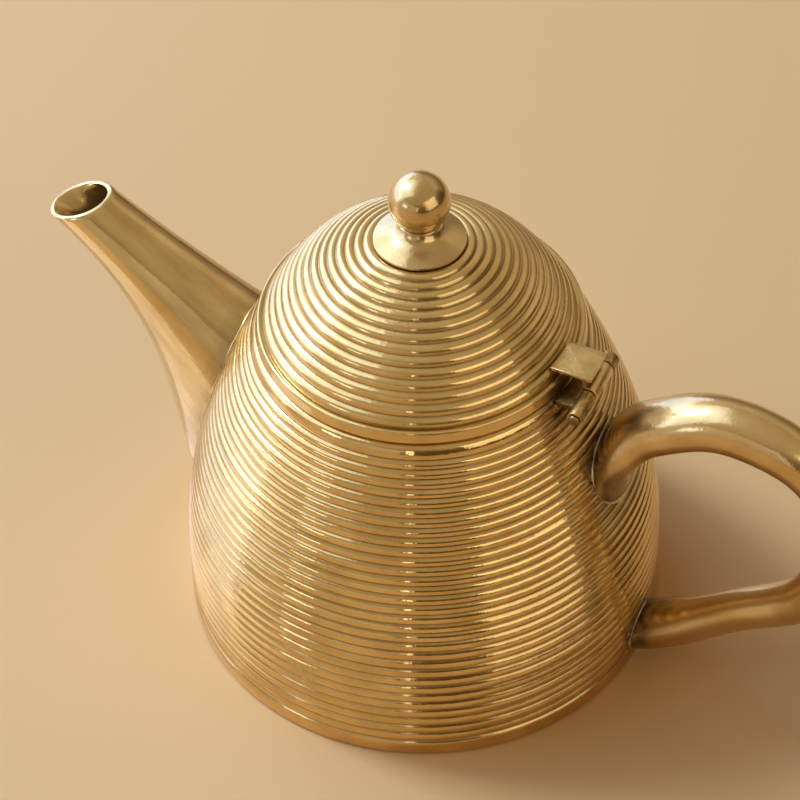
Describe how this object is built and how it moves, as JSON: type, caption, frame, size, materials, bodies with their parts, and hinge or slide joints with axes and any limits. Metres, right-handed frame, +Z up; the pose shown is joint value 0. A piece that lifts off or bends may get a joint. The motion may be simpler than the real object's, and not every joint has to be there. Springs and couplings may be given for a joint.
{
  "type": "ribbed brass teapot",
  "caption": "Ribbed beehive brass teapot with a hinged dome lid, ball finial, plain curved spout and cast loop handle, for brewing and pouring.",
  "frame": {"origin": "centre of the flat base, on the surface it stands on", "axes": "+Z up along the pot's turning axis, +X towards the handle, -X towards the spout"},
  "size_m": [0.1949, 0.11, 0.1234],
  "materials": {
    "body_shell": "spun and polished, ribbed",
    "base_disc": "dull",
    "mouth_collar": "satin",
    "spout": "polished sheet",
    "handle": "polished casting",
    "body_hinge_leaf": "dull",
    "hinge_pin": "dull",
    "lid_shell": "spun and polished, ribbed",
    "lid_skirt": "satin",
    "finial_knob": "turned and polished",
    "finial_washer": "dull",
    "finial_nut": "dull",
    "lid_hinge_leaf": "dull"
  },
  "bodies": {
    "pot": {"body_shell": "body_shell", "base_disc": "base_disc", "mouth_collar": "mouth_collar", "spout": "spout", "handle": "handle", "body_hinge_leaf": "body_hinge_leaf", "hinge_pin": "hinge_pin"},
    "lid": {"lid_shell": "lid_shell", "lid_skirt": "lid_skirt", "finial_knob": "finial_knob", "finial_washer": "finial_washer", "finial_nut": "finial_nut", "lid_hinge_leaf": "lid_hinge_leaf"}
  },
  "joints": [
    {"name": "lid_hinge", "type": "hinge", "parent": "pot", "child": "lid", "pos_m": [0.0416, 0, 0.0821], "axis": [0, 1, 0], "range_deg": [0, 100]}
  ]
}
